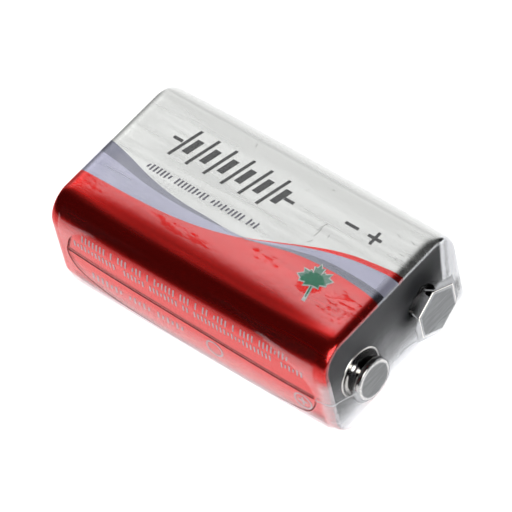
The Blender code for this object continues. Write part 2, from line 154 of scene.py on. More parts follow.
floor_radius = 0.45
paper_white = 0.93
fall_off, fall_start, fall_dark = 0.135, 0.10, 0.24
own_glow, seen_glow = 0.62, 0.40
bm = bmesh.new()
bmesh.ops.create_circle(bm, cap_ends=True, segments=96, radius=floor_radius)
floor = new_object("floor", mesh_from(bm, "floor", closed=False))
floor_paper, tree, shader = finish_material(
    "floor_paper", Roughness=0.9, Emission_Color=(1.0, 1.0, 1.0, 1.0))
across = parts_of(add_node("TexCoord", tree=tree).outputs["Object"])[1]
away = larger(times(across, -1.0), 0.0)
seen = add_node("LightPath", tree=tree).outputs["Is Camera Ray"]
lit = larger(minus(maths("DIVIDE", fall_off, plus(away, fall_start)), fall_dark), seen)
feed(shader, Base_Color=mixed(lit, (0.0, 0.0, 0.0, 1.0), (paper_white, paper_white, paper_white, 1.0)),
     Emission_Strength=times(lit, times_plus(seen, seen_glow, own_glow)))
floor.data.materials.append(floor_paper)

# Light: one soft box beside the camera, and a large lit sheet behind and above the
# battery in a dark room, so that its corners and crimps mirror the dark.  The camera
# itself sees a white room.
box_place, box_side, box_power = (0.85, -0.62, 1.05), 1.3, 15.0
sheet_strength, spill_strength, dark_room = (2.14, 1.45), 0.13, 0.014


def ramp(value, low, high, to_low=0.0, to_high=1.0, smooth=True):
    """Value carried from one range to another, with soft ends."""
    inputs = {0: value, 1: low, 2: high, 3: to_low, 4: to_high}
    kind = "SMOOTHSTEP" if smooth else "LINEAR"
    return add_node("MapRange", inputs, interpolation_type=kind).outputs[0]


box_light = bpy.data.lights.new("box", "AREA")
box_light.shape = "SQUARE"
box_light.size = box_side
box_light.energy = box_power
box = new_object("box", box_light)
box.location = box_place
box.rotation_euler = (-Vector(box_place)).to_track_quat("-Z", "Y").to_euler()
world = bpy.data.worlds.new("studio")
world.use_nodes = True
scene.world = world
tree = world.node_tree
tree.nodes.clear()
direction = add_node("TexCoord", tree=tree).outputs["Generated"]
east, north, climb = parts_of(direction)
climb = larger(climb, 0.02)
ceiling_x = maths("DIVIDE", east, climb)
ceiling_y = maths("DIVIDE", north, climb)
sheet_x = ramp(ceiling_x, -0.50, -0.24, 1.0, 0.0)
sheet_y = times(ramp(ceiling_y, 0.36, 0.505), ramp(ceiling_y, 0.53, 0.74, 1.0, 0.56))
sheet_light = ramp(ceiling_x, -0.80, -0.58, *sheet_strength, smooth=False)
sheet_end = ramp(east, -0.86, -0.68, 0.35, 1.0)
sheet = times(sheet_end, sheet_y, sheet_light)
spill = ramp(north, -0.15, 0.42, 0.0, spill_strength)
room = times_plus(sheet_x, larger(sheet, spill), dark_room)
seen = add_node("LightPath", tree=tree).outputs["Is Camera Ray"]
strength = add_node("Mix", {0: seen, 2: room, 3: 1.0}).outputs[0]
back = add_node("Background", {"Strength": strength})
add_node("OutputWorld", {"Surface": back.outputs[0]})

# Jacket: thin tinplate, printed flat, bent round the stack into a sleeve with a lap
# seam down one narrow side, and crimped in at both ends over the end plates.
jacket_low, jacket_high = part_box("jacket")
base_x, end_x = jacket_low[0], jacket_high[0]
middle_z = (jacket_high[2] + jacket_low[2]) / 2
half_thickness = (jacket_high[2] - jacket_low[2]) / 2
jacket_swell = 0.0003
jacket_bow = 0.00017
half_width = jacket_high[1] - jacket_swell
jacket_corner = 0.0040
crimp_length = 0.0015
crimp_depth = 0.00045
jacket_lip = 0.00035
jacket_wall = 0.00025
seam_width = 0.0022
seam_step = 0.0001
corner_steps = 16
body_rings = 60
side_steps = {"broad": 40, "near": 46, "far": 24}


def fullness_at(x):
    """Share of the swell and bow at x: all of it at mid length, none at the crimped ends."""
    share = (x - (base_x + end_x) / 2) / ((end_x - base_x) / 2 - crimp_length)
    return max(0.0, 1.0 - share ** 4)


def outline(inset, fullness=0.0, groove=False):
    """Outline of the jacket in the YZ plane about its middle, moved inwards by inset."""
    bow = jacket_bow * fullness
    centre_y = half_width - jacket_corner
    centre_z = half_thickness - jacket_corner - bow
    radius = jacket_corner - inset
    swell = jacket_swell * fullness
    points = []
    for quarter in range(4):
        sign_y = 1 if quarter in (0, 3) else -1
        sign_z = 1 if quarter in (0, 1) else -1
        for step in range(corner_steps + 1):
            angle = math.radians(90) * (quarter + step / corner_steps)
            points.append((sign_y * (centre_y + swell) + radius * math.cos(angle),
                           sign_z * centre_z + radius * math.sin(angle)))
        y, z = points[-1]
        if quarter in (0, 2):
            count = side_steps["broad"]
            for step in range(1, count):
                share = 1 - 2 * step / count
                points.append((y * share, z + sign_z * bow * (1 - share ** 6)))
        elif quarter == 1:
            count = side_steps["near"]
            points += [(y, z * (1 - 2 * step / count)) for step in range(1, count)]
        else:
            count = side_steps["far"]
            for step in range(1, count):
                up = z * (1 - 2 * step / count)
                sunk = groove and abs(up + seam_width) < seam_width / 2
                points.append((y - (seam_step if sunk else 0.0), up))
    return points


def skin(inset, body_steps, groove=False, crimp_steps=12):
    """Outlines of the whole sleeve from the base end to the terminal end."""
    low, high = base_x + inset, end_x - inset
    length, depth = crimp_length - inset, crimp_depth - inset
    ends = []
    for step in range(crimp_steps + 1):
        angle = math.radians(90) * step / crimp_steps
        ends.append((length * (1 - math.sin(angle)), outline(inset + depth * (1 - math.cos(angle)))))
    sections = [(low + back, points) for back, points in reversed(ends)]
    for step in range(1, body_steps):
        x = low + length + (high - low - 2 * length) * step / body_steps
        sections.append((x, outline(inset, fullness_at(x), groove)))
    return sections + [(high - back, points) for back, points in ends]


def ring_mesh(name, sections, y=0.0, joined=True):
    """Mesh through (x, outline) rings; joined to its first ring, or capped."""
    bm = bmesh.new()
    rings = [[bm.verts.new((x, y + across, middle_z + up)) for across, up in points]
             for x, points in sections]
    pairs = list(zip(rings, rings[1:]))
    if joined:
        pairs.append((rings[-1], rings[0]))
    else:
        bm.faces.new(rings[0])
        bm.faces.new(rings[-1])
    for ring, following in pairs:
        for i in range(len(ring)):
            j = (i + 1) % len(ring)
            bm.faces.new((ring[i], ring[j], following[j], following[i]))
    return mesh_from(bm, name)


def fit_piece(name, mesh, material, slot, *nodes, sharp=40):
    """Smooth piece of the battery that stands for the named nodes."""
    piece = new_object(name, mesh)
    mesh.materials.clear()
    mesh.materials.append(material)
    mesh.shade_smooth()
    mesh.set_sharp_from_angle(angle=math.radians(sharp))
    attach(piece, "root")
    if nodes:
        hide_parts(*nodes)


def part_position(tree):
    """Object coordinates in millimetres, as a vector and as x, y and z."""
    place = add_node("TexCoord", tree=tree).outputs["Object"]
    scaled = add_node("VectorMath", {0: place, 3: 1000.0}, operation="SCALE").outputs[0]
    return (scaled, *parts_of(scaled))


def stretched(place, scale, turn=0.0):
    """Place scaled along its axes and turned about X."""
    return add_node("Mapping", {"Vector": place, "Rotation": (turn, 0.0, 0.0), "Scale": scale}).outputs[0]


def noise(place, scale, detail, rough=0.5):
    """Soft noise about a half."""
    inputs = {"Vector": place, "Scale": scale, "Detail": detail, "Roughness": rough}
    return add_node("TexNoise", inputs).outputs["Fac"]


def dent(shader, height, strength, distance=0.0001):
    """Fine relief of a shader."""
    inputs = {"Height": height, "Strength": strength, "Distance": distance}
    feed(shader, Normal=add_node("Bump", inputs).outputs[0])


def band_edge(along, points):
    """Printed edge: height in millimetres over the length, through (x, y) points."""
    share = times_plus(along, 1 / edge_reach, 0.5)
    curve = add_node("FloatCurve", {"Value": share})
    line = curve.mapping.curves[0]
    spots = [((x + edge_reach / 2) / edge_reach, (y + edge_rise / 2) / edge_rise) for x, y in points]
    line.points[0].location = spots[0]
    line.points[1].location = spots[-1]
    for spot in spots[1:-1]:
        line.points.new(*spot)
    curve.mapping.update()
    return times_plus(curve.outputs[0], edge_rise, -edge_rise / 2)


def printed_band(colour, points, ink):
    """Colour with an ink over it on the near side of a printed edge."""
    gap = minus(band_edge(along, points), across)
    return mixed(ramp(gap, -print_blur, print_blur), colour, ink)


edge_reach, edge_rise = 50.0, 20.0
print_blur = 0.04
silver = (0.80, 0.81, 0.79, 1.0)
dusk = (0.235, 0.24, 0.305, 1.0)
lavender = (0.47, 0.47, 0.60, 1.0)
red = (0.86, 0.018, 0.014, 1.0)
left_edges = {
    "dusk": [(-25, 0.1), (-20, -0.95), (-15, -2.2), (-10, -2.9), (-5, -3.05), (0, -3.1), (3, -2.6),
             (25, -2)],
    "lavender": [(-25, -2.1), (-20, -2.6), (-15, -3.3), (-10, -3.55), (-5, -3.45), (-1, -3.15), (3, -3.1),
                 (25, -3)],
    "red": [(-25, -5.95), (-20, -5.9), (-15, -5.8), (-10, -5.5), (-5, -4.8), (0, -3.5), (1.5, -2.95),
            (25, 3)],
}
right_edges = {
    "line": [(-25, -9), (0, -3.3), (1.5, -2.8), (5, -1.3), (8, 0.05), (13, 1.95), (17, 2.75), (25, 3.4)],
    "lavender": [(-25, -9), (0, -3.35), (1.5, -2.9), (5, -1.5), (8, -0.2), (13, 1.35), (17, 2.05), (25, 2.3)],
    "dusk": [(-25, -9), (1.5, -3.0), (4, -2.2), (8, -1.0), (12, -0.2), (16, -0.05), (20, -0.25), (25, -1.0)],
    "red": [(-25, -9), (1.5, -3.1), (5, -2.2), (8, -1.5), (13, -1.05), (17, -1.1), (20, -1.4), (25, -2.4)],
}
printed_steel, tree, shader = finish_material("printed_steel", Coat_Weight=0.25, Coat_Roughness=0.04)
place, along, across, up = part_position(tree)
left_print = silver
for name, ink in (("dusk", dusk), ("lavender", lavender), ("red", red)):
    left_print = printed_band(left_print, left_edges[name], ink)
right_print = silver
for name, ink in (("line", red), ("lavender", lavender), ("dusk", dusk), ("red", red)):
    right_print = printed_band(right_print, right_edges[name], ink)
colour = mixed(ramp(along, 1.15, 1.25), left_print, right_print)
rolled = noise(stretched(place, (0.06, 1.0, 1.0)), 1.1, 5.0)
fine = noise(place, 4.0, 4.0)

# A faint mottle of wear, and painted shade along the fold of the far upper edge
mottle_and_edge_shade = ramp(fine, 0.5, 0.8, 0.0, 0.07)
far_fold = maths("ABSOLUTE", minus(across, 10.35))
mottle_and_edge_shade = larger(mottle_and_edge_shade, ramp(far_fold, 0.05, 0.45, 0.24, 0.0))
colour = mixed(mottle_and_edge_shade, colour, (0.3, 0.3, 0.3, 1.0))

# The turned-in lip is painted darker as painted shade, grey over the silver part and
# reddish over the red one, and the lavender band loses its metal towards it
on_lip = ramp(along, end_x * 1000 - 0.06, end_x * 1000 - 0.02, 0.0, 0.75)
shaded_lip = mixed(ramp(across, -1.7, -1.9), (0.22, 0.225, 0.24, 1.0), (0.20, 0.07, 0.075, 1.0))
lavender_end = times(ramp(along, 19.8, 20.6), times(ramp(across, -0.55, -0.35), ramp(across, 2.3, 2.15)))
feed(shader, Base_Color=mixed(on_lip, colour, shaded_lip), Roughness=ramp(rolled, 0.3, 0.7, 0.22, 0.28),
     Metallic=ramp(lavender_end, 0.0, 1.0, 0.92, 0.25))
dent(shader, times_plus(fine, 0.3, rolled), 0.04)

lip = outline(crimp_depth + jacket_lip)
sections = [(base_x, lip)] + skin(0.0, body_rings, groove=True) + [(end_x, lip), (end_x - jacket_wall, lip)]
sections += skin(jacket_wall, body_rings)[::-1] + [(base_x + jacket_wall, lip)]
fit_piece("printed_jacket", ring_mesh("printed_jacket", sections), printed_steel, "printed_steel", "jacket")

# Marks: ink printed on the jacket over the colour bands, and fine scratches in it.  A
# row of six cell signs, rows of ticks, a plus and a minus, and a green leaf.
mark_lift = 0.00002
mark_depth = 0.00002


def vector(x=0.0, y=0.0, z=0.0):
    """Vector made of its parts."""
    return add_node("CombineXYZ", {0: x, 1: y, 2: z}).outputs[0]


def grow_tree(name, sockets):
    """Empty Geometry Nodes tree with named inputs, and its input sockets."""
    tree = bpy.data.node_groups.new(name, "GeometryNodeTree")
    for label, kind in sockets.items():
        tree.interface.new_socket(label, in_out="INPUT", socket_type="NodeSocket" + kind)
    tree.interface.new_socket("Geometry", in_out="OUTPUT", socket_type="NodeSocketGeometry")
    return tree, tree.nodes.new("NodeGroupInput").outputs


def end_tree(tree, instances, ink):
    """Close a tree with real geometry that carries its material."""
    solid = add_node("GeometryNodeRealizeInstances", {"Geometry": instances}).outputs[0]
    inked = add_node("GeometryNodeSetMaterial", {"Geometry": solid, "Material": ink}).outputs[0]
    tree.links.new(inked, tree.nodes.new("NodeGroupOutput").inputs[0])


def grown_mesh(tree, **values):
    """Plain mesh that a tree makes from these inputs."""
    holder = new_object(tree.name, bpy.data.meshes.new(tree.name))
    grower = holder.modifiers.new("grower", "NODES")
    grower.node_group = tree
    for item in tree.interface.items_tree:
        if item.in_out == "INPUT":
            grower[item.identifier] = values[item.name]
    mesh = bpy.data.meshes.new_from_object(holder.evaluated_get(bpy.context.evaluated_depsgraph_get()))
    bpy.data.objects.remove(holder)
    return mesh


row_tree, row_in = grow_tree("printed_row", {
    "Start": "Vector", "Length": "Float", "Pitch": "Float", "Width": "Float", "Height": "Float",
    "Slant": "Float", "Short": "Float", "Gaps": "Float", "Seed": "Int", "Ink": "Material"})
bars = plus(maths("FLOOR", maths("DIVIDE", row_in["Length"], row_in["Pitch"])), 1.0)
line = add_node("GeometryNodeMeshLine", {
    "Count": bars, "Start Location": row_in["Start"], "Offset": vector(row_in["Pitch"])})
bar_size = vector(row_in["Width"], row_in["Height"], mark_depth)
bar = add_node("GeometryNodeMeshCube", {"Size": bar_size, "Vertices Y": 4})
bar_height = parts_of(add_node("GeometryNodeInputPosition", tree=row_tree).outputs[0])[1]
lean = vector(times(bar_height, row_in["Slant"]), 0.0, mark_depth / 2)
bar = add_node("GeometryNodeSetPosition", {"Geometry": bar.outputs[0], "Offset": lean}).outputs[0]
left_out = add_node("FunctionNodeRandomValue", {6: row_in["Gaps"], 8: row_in["Seed"]}, data_type="BOOLEAN")
kept = add_node("FunctionNodeBooleanMath", {0: left_out.outputs[3]}, operation="NOT").outputs[0]
other_seed = plus(row_in["Seed"], 7.0)
short = add_node("FunctionNodeRandomValue", {6: row_in["Short"], 8: other_seed}, data_type="BOOLEAN")
bar_scale = vector(1.0, times_plus(short.outputs[3], -0.4, 1.0), 1.0)
row = add_node("GeometryNodeInstanceOnPoints", {
    "Points": line.outputs[0], "Selection": kept, "Instance": bar, "Scale": bar_scale})
end_tree(row_tree, row.outputs[0], row_in["Ink"])


def bar_row(ink, x, y, length, pitch, width, height, slant=0.0, short=0.0, gaps=0.0, seed=0):
    """Row of upright bars from x on, at height y, all in millimetres."""
    return grown_mesh(row_tree, Start=(x / 1000, y / 1000, 0.0), Length=length / 1000,
                      Pitch=pitch / 1000, Width=width / 1000, Height=height / 1000,
                      Slant=slant, Short=short, Gaps=gaps, Seed=seed, Ink=ink)


def top_z(x, y):
    """Height of the jacket's upper broad face."""
    flat = half_width - jacket_corner
    return middle_z + half_thickness - jacket_bow * fullness_at(x) * min(1.0, (y / flat) ** 6)


def near_y(x, z):
    """Place of the jacket's near narrow side, which rounds off above and below."""
    flat = half_thickness - jacket_corner - jacket_bow * fullness_at(x)
    past = max(0.0, abs(z - middle_z) - flat)
    rounded = jacket_corner - math.sqrt(jacket_corner ** 2 - past ** 2)
    return -half_width - jacket_swell * fullness_at(x) + rounded


def print_marks(name, ink, shapes=(), rows=(), side="top", lift=mark_lift):
    """Thin ink on the jacket: flat shapes in mm and rows of bars, (x, y) on the top or
    (x, z) on the near side."""
    bm = bmesh.new()
    for shape in shapes:
        bm.faces.new([bm.verts.new((u / 1000, v / 1000, 0.0)) for u, v in shape])
    bm.normal_update()
    for face in bm.faces:
        if face.normal.z < 0:
            face.normal_flip()
    bmesh.ops.triangulate(bm, faces=bm.faces, ngon_method="EAR_CLIP")
    for item in bmesh.ops.extrude_face_region(bm, geom=bm.faces[:])["geom"]:
        if isinstance(item, bmesh.types.BMVert):
            item.co.z = mark_depth
    for row in rows:
        bm.from_mesh(row)
    for vert in bm.verts:
        u, v, rise = vert.co
        if side == "top":
            vert.co = (u, v, top_z(u, v) + lift + rise)
        else:
            vert.co = (u, near_y(u, v) - lift - rise, v)
    fit_piece(name, mesh_from(bm, name), ink, "printed_steel")


def ink_material(name, colour, metallic=0.5):
    """Glossy ink with a faint mottle."""
    ink, tree, shader = finish_material(name, Metallic=metallic, Roughness=0.35, Coat_Weight=0.5,
                                        Coat_Roughness=0.05)
    mottle = noise(part_position(tree)[0], 2.5, 4.0)
    dark = (*[channel * 0.75 for channel in colour], 1.0)
    feed(shader, Base_Color=mixed(ramp(mottle, 0.3, 0.7), dark, (*colour, 1.0)))
    return ink


def oblong(x, y, width, height, slant=0.0):
    """Rectangle about a point, leaning forwards."""
    lean = slant * height / 2
    return [(x - width / 2 - lean, y - height / 2), (x + width / 2 - lean, y - height / 2),
            (x + width / 2 + lean, y + height / 2), (x - width / 2 + lean, y + height / 2)]


grey_ink = ink_material("grey_ink", (0.022, 0.023, 0.022))
cell_pitch = 2.95
cell_rows = [bar_row(grey_ink, -15.3, 4.6, 5.1 * cell_pitch, cell_pitch, 0.45, 5.2, slant=0.25),
             bar_row(grey_ink, -14.0, 4.6, 5.1 * cell_pitch, cell_pitch, 1.0, 2.6, slant=0.25)]
print_marks("cell_signs", grey_ink, [oblong(-16.5, 4.6, 1.5, 0.45), oblong(2.1, 4.6, 1.5, 0.45)], cell_rows)
dusk_ink = ink_material("dusk_ink", (0.12, 0.115, 0.16))
print_marks("face_ticks", dusk_ink, rows=[
    bar_row(dusk_ink, -16.8, -0.75, 18.6, 0.6, 0.24, 1.0, slant=0.15, short=0.3, gaps=0.14, seed=3)])
sign_long, sign_wide = 2.1, 0.42
print_marks("pole_signs", grey_ink, [oblong(11.3, 5.9, sign_long, sign_wide),
                                     oblong(15.0, 5.9, sign_long, sign_wide),
                                     oblong(15.0, 5.9, sign_wide, sign_long)])

leaf_half = [(0.0, 1.0), (0.09, 0.76), (0.22, 0.82), (0.17, 0.46), (0.34, 0.60), (0.40, 0.50), (0.68, 0.60),
             (0.58, 0.38), (0.86, 0.24), (0.62, 0.07), (0.66, -0.06), (0.34, -0.08), (0.38, -0.27),
             (0.06, -0.19)]
leaf_middle, leaf_size, leaf_turn = (12.95, -3.6), 2.75, math.radians(16)


def leaf_shape(grow):
    """Leaf outline moved outwards by grow, in mm."""
    points = [Vector(spot) for spot in leaf_half + [(-x, y) for x, y in reversed(leaf_half[1:])]]
    placed = []
    for before, here, after in zip(points[-1:] + points, points, points[1:] + points[:1]):
        edge = (after - before).normalized()
        out = Vector((-edge.y, edge.x))
        spot = here * leaf_size + out * grow
        turned = (spot.x * math.cos(leaf_turn) - spot.y * math.sin(leaf_turn),
                  spot.x * math.sin(leaf_turn) + spot.y * math.cos(leaf_turn))
        placed.append((leaf_middle[0] + turned[0], leaf_middle[1] + turned[1]))
    return placed


green_ink = ink_material("green_ink", (0.012, 0.27, 0.14))
pale_ink = ink_material("pale_ink", (0.72, 0.78, 0.74))
print_marks("leaf_edge", pale_ink, [leaf_shape(0.22), oblong(13.5, -5.35, 0.55, 2.4, -0.25)])
print_marks("leaf", green_ink, [leaf_shape(0.0), oblong(13.42, -5.1, 0.22, 1.7, -0.25)],
            lift=mark_lift + 1.2 * mark_depth)

scratch_tree, scratch_in = grow_tree("scratches", {
    "Count": "Int", "Low": "Vector", "High": "Vector", "Length": "Float", "Width": "Float",
    "Turn": "Float", "Seed": "Int", "Ink": "Material"})
spread = add_node("FunctionNodeRandomValue", {
    0: scratch_in["Low"], 1: scratch_in["High"], 8: scratch_in["Seed"]}, data_type="FLOAT_VECTOR").outputs[0]
places = add_node("GeometryNodePoints", {"Count": scratch_in["Count"], "Position": spread}).outputs[0]
hair_size = vector(scratch_in["Length"], scratch_in["Width"], mark_depth)
hair = add_node("GeometryNodeMeshCube", {"Size": hair_size, "Vertices X": 4})
angle = add_node("FunctionNodeRandomValue", {
    2: times(scratch_in["Turn"], 0.4), 3: scratch_in["Turn"], 8: scratch_in["Seed"]},
    data_type="FLOAT").outputs[1]
share = add_node("FunctionNodeRandomValue", {2: 0.25, 3: 1.0, 8: scratch_in["Seed"]},
                 data_type="FLOAT").outputs[1]
hairs = add_node("GeometryNodeInstanceOnPoints", {
    "Points": places, "Instance": hair.outputs[0], "Rotation": vector(0.0, 0.0, angle),
    "Scale": vector(share, 1.0, 1.0)})
end_tree(scratch_tree, hairs.outputs[0], scratch_in["Ink"])


def scratch_patch(ink, count, low, high, length, width, turn, seed):
    """Hairlines strewn over a patch of the top, in millimetres and degrees."""
    return grown_mesh(scratch_tree, Count=count, Low=(low[0] / 1000, low[1] / 1000, mark_depth / 2),
                      High=(high[0] / 1000, high[1] / 1000, mark_depth / 2), Length=length / 1000,
                      Width=width / 1000, Turn=math.radians(turn), Seed=seed, Ink=ink)


dull_scratch = ink_material("dull_scratch", (0.38, 0.38, 0.37))
print_marks("scratches", dull_scratch, rows=[
    scratch_patch(dull_scratch, 4, (8.0, 0.8), (8.6, 4.0), 1.8, 0.04, 100, 2),
    scratch_patch(dull_scratch, 6, (17.0, 1.0), (20.5, 8.5), 0.9, 0.04, 200, 4),
    scratch_patch(dull_scratch, 5, (-22.0, -1.0), (21.0, 10.0), 0.7, 0.04, 320, 11)], lift=0.4 * mark_lift)

# Small print on the near side: pale ink in three rows of ticks and two rings, the one
# towards the terminals with a plus in it.
side_ink = ink_material("side_ink", (0.78, 0.50, 0.53), 0.3)


def ring_shape(x, y, outside, inside, steps=24):
    """Quads of a flat ring."""
    quads = []
    for step in range(steps):
        first, second = (math.radians(360) * (step + k) / steps for k in (0, 1))
        quads.append([(x + r * math.cos(a), y + r * math.sin(a))
                      for r, a in ((inside, first), (outside, first), (outside, second), (inside, second))])
    return quads


side_shapes = ring_shape(17.0, 5.7, 1.45, 1.2) + [oblong(17.0, 5.7, 1.5, 0.3), oblong(17.0, 5.7, 0.3, 1.5)]
side_shapes += ring_shape(2.6, 6.1, 1.4, 1.15)
side_rows = [bar_row(side_ink, -18.3, 13.3, 34.1, 0.62, 0.24, 1.1, slant=0.1, short=0.15, gaps=0.16, seed=5),
             bar_row(side_ink, -20.0, 11.5, 38.2, 0.62, 0.24, 1.1, slant=0.1, short=0.15, gaps=0.16, seed=6),
             bar_row(side_ink, -18.0, 6.3, 15.8, 0.8, 0.30, 1.2, slant=0.1, short=0.2, gaps=0.2, seed=8)]
print_marks("side_print", side_ink, side_shapes, side_rows, side="near")

# Snap terminals: pressed from nickelled brass.  The stud has an undercut neck and a
# flange; the socket is six-sided, pinched at its waist and flared to its mouth.
snap_metal = 0.0003
film_room = 0.00009
stud_low, stud_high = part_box("positive_snap")
crown_low, crown_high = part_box("negative_snap")
positive_y = (stud_low[1] + stud_high[1]) / 2
negative_y = (crown_low[1] + crown_high[1]) / 2
stud_head, stud_neck, stud_flange, stud_head_height = 0.00285, 0.00245, 0.0036, 0.0011
crown_base, crown_waist, crown_mouth = 0.0034, 0.00325, 0.0039
crown_corner = 0.00035
stud_roll = 0.00022


def arc(centre, radius, start, end, steps=6):
    """Profile points on an arc, angles in degrees."""
    angles = [math.radians(start + (end - start) * i / steps) for i in range(steps + 1)]
    return [(centre[0] + radius * math.cos(a), centre[1] + radius * math.sin(a)) for a in angles]


def join_rings(bm, ring, following, i, j):
    """Face between two rings of points, one of which may be a single point."""
    corners = [ring[i % len(ring)], ring[j % len(ring)], following[j % len(following)],
               following[i % len(following)]]
    bm.faces.new(list(dict.fromkeys(corners)))


def turned_mesh(name, profile, x, y, steps=96):
    """Mesh turned about an X axis from (radius, height) points that start and end on it."""
    bm = bmesh.new()
    turns = [math.radians(360) * i / steps for i in range(steps)]
    rings = []
    for radius, rise in profile:
        around = turns if radius > 0 else [0.0]
        rings.append([bm.verts.new((x + rise, y + radius * math.cos(a), middle_z + radius * math.sin(a)))
                      for a in around])
    for ring, following in zip(rings, rings[1:]):
        for i in range(steps):
            join_rings(bm, ring, following, i, (i + 1) % steps)
    return mesh_from(bm, name)


foot = stud_low[0]
stud_top = stud_high[0] - film_room - foot
under_head = stud_high[0] - foot - stud_head_height
edge = 0.00032
profile = [(0.0, stud_top), (0.0012, stud_top), (0.0021, stud_top)]
profile += arc((stud_head - edge, stud_top - edge), edge, 90, 0)
profile += arc((stud_head - edge, under_head + edge), edge, 0, -60, 4)
profile += [(stud_neck + 0.00004, under_head - 0.0002), (stud_neck, under_head - 0.0004)]
flare = stud_flange - 0.0005 - stud_neck
profile += arc((stud_neck + flare, snap_metal + flare), flare, 180, 262, 8)
profile += arc((stud_flange - stud_roll, stud_roll), stud_roll, 120, -90, 9)
profile += [(stud_neck, 0.0), (stud_neck - snap_metal, 4 * snap_metal), (stud_neck - snap_metal, under_head),
            (stud_head - snap_metal, under_head + snap_metal),
            (stud_head - snap_metal, stud_top - 2 * snap_metal),
            (stud_head - 2 * snap_metal, stud_top - snap_metal), (0.0, stud_top - snap_metal)]


def vector_maths(operation, first, second=(0.0, 0.0, 0.0), output="Value"):
    """Result of one Vector Math node."""
    return add_node("VectorMath", {0: first, 1: second}, operation=operation).outputs[output]


def nickel_finish(name, middle_y, shade_reach, shade_high, *sparks):
    """Bright nickel with painted shade over the undercut side, but for sparks: (y, z, width)
    directions where the colour stays bright as painted highlights."""
    nickel, tree, shader = finish_material(name, Metallic=1.0)
    place, along, across, up = part_position(tree)
    brushed = noise(stretched(place, (1.0, 0.6, 9.0), turn=0.5), 1.2, 5.0)
    dent(shader, brushed, 0.05, 0.00005)
    side = vector(0.0, minus(across, middle_y * 1000), minus(up, middle_z * 1000))
    reach = vector_maths("LENGTH", side)
    lower = maths("DIVIDE", vector_maths("DOT_PRODUCT", side, (0.0, -0.86, -0.5)), reach)
    bright_low = ramp(lower, 0.05, 0.5, 0.0, -0.58)
    past = minus(minus(reach, bright_low), shade_reach)
    # Painted shade: the colour goes near black over the undercut side, less far out on the lower side
    shade = times(ramp(past, 0.0, -shade_blur), ramp(along, shade_high, shade_high - shade_blur))
    # Painted highlights: in each spark's direction the colour stays bright
    for spark_y, spark_z, width in sparks:
        facing = maths("DIVIDE", vector_maths("DOT_PRODUCT", side, (0.0, spark_y, spark_z)), reach)
        shade = times(shade, ramp(maths("ARCCOSINE", facing), 0.4 * width, width))
    feed(shader, Base_Color=mixed(shade, bright_nickel, shaded_nickel),
         Roughness=ramp(brushed, 0.3, 0.7, 0.05, 0.12))
    return nickel


bright_nickel, shaded_nickel = (0.82, 0.80, 0.77, 1.0), (0.009, 0.007, 0.007, 1.0)
shade_blur = 0.12
# Painted shade over the stud's undercut neck, with one painted highlight on its upper side
stud_nickel = nickel_finish("stud_nickel", positive_y, 3.28, 23.12, (-0.47, 0.88, 0.22))
stud_mesh = turned_mesh("stud", profile, foot, positive_y)
fit_piece("stud", stud_mesh, stud_nickel, "nickel", "positive_snap", sharp=50)


def six_sided(radius, corner=crown_corner, steps=6):
    """Hexagon with rounded corners, one of them up; radius is to the sharp corner."""
    points = []
    corner = min(corner, radius / 3)
    for k in range(6):
        middle = math.radians(60 * k + 30)
        centre = radius - corner / math.cos(math.radians(30))
        for step in range(steps + 1):
            angle = middle + math.radians(60) * (step / steps - 0.5)
            points.append((centre * math.cos(middle) + corner * math.cos(angle),
                           centre * math.sin(middle) + corner * math.sin(angle)))
    return points


def circle_for(points, radius):
    """Circle with one point for each point of an outline."""
    return [(radius * y / math.hypot(y, z), radius * z / math.hypot(y, z)) for y, z in points]


crown_foot, crown_rim = crown_low[0], crown_high[0]
waist_x = crown_foot + 0.35 * (crown_rim - crown_foot)
half_metal = snap_metal / 2
inner_line = 1.15 * snap_metal
waist_steps, flare_steps, lip_steps = 8, 12, 8
outside = []
for step in range(waist_steps + 1):
    share = step / waist_steps
    swing = 0.5 - 0.5 * math.cos(math.radians(180) * share)
    outside.append((crown_foot + half_metal + (waist_x - crown_foot - half_metal) * share,
                    crown_base + (crown_waist - crown_base) * swing))
for step in range(1, flare_steps + 1):
    share = step / flare_steps
    swing = share ** 1.6
    outside.append((waist_x + (crown_rim - half_metal - waist_x) * share,
                    crown_waist + (crown_mouth - crown_waist) * swing))
sections = [(crown_foot, six_sided(crown_base - half_metal))]
sections += [(x, six_sided(radius)) for x, radius in outside]
for step in range(1, lip_steps):
    angle = math.radians(180) * step / lip_steps
    sections.append((crown_rim - half_metal + half_metal * math.sin(angle),
                     six_sided(crown_mouth - half_metal + half_metal * math.cos(angle))))
sections += [(x, six_sided(radius - inner_line)) for x, radius in reversed(outside)
             if x > crown_foot + 2 * snap_metal]
floor_line = six_sided(crown_base - inner_line)
eyelet = circle_for(floor_line, 0.0021)
sections += [(crown_foot + snap_metal, floor_line), (crown_foot + snap_metal, eyelet), (crown_foot, eyelet)]
# Painted shade over the socket's side, with painted highlights along two of its corners
socket_nickel = nickel_finish("socket_nickel", negative_y, 9.0, 23.58, (0.0, 1.0, 0.04),
                              (-0.866, 0.5, 0.04))
socket_mesh = ring_mesh("socket", sections, negative_y)
fit_piece("socket", socket_mesh, socket_nickel, "nickel", "negative_snap", sharp=50)

# Film round the jacket: a clear shrunk sleeve.  It lies on the broad faces, touches
# the near side in one long oval patch, and has a weld line along that side.
film_wall = 0.00008
film_gap = 0.00008
film_skin = film_wall + film_gap
film_limit_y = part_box("film_wrap")[1][1]
weld_slope, weld_height = 0.0368, 8.45
film_rings = 150
film_stand = 0.0002
edge_margin = 0.0008
near_face = -0.0110
patch_points = [(-21.8, 8.2), (-21.5, 10.0), (-20.0, 13.0), (-17.0, 14.6), (-13.0, 15.35), (-5.0, 15.8),
                (5.0, 15.6), (10.0, 15.0), (15.0, 13.4), (18.0, 11.4), (19.3, 9.0), (19.2, 6.8), (18.3, 4.9),
                (17.0, 4.0), (14.0, 3.5), (8.0, 3.1), (0.0, 3.2), (-8.0, 3.5), (-15.0, 4.2), (-19.0, 5.2),
                (-21.0, 6.4)]


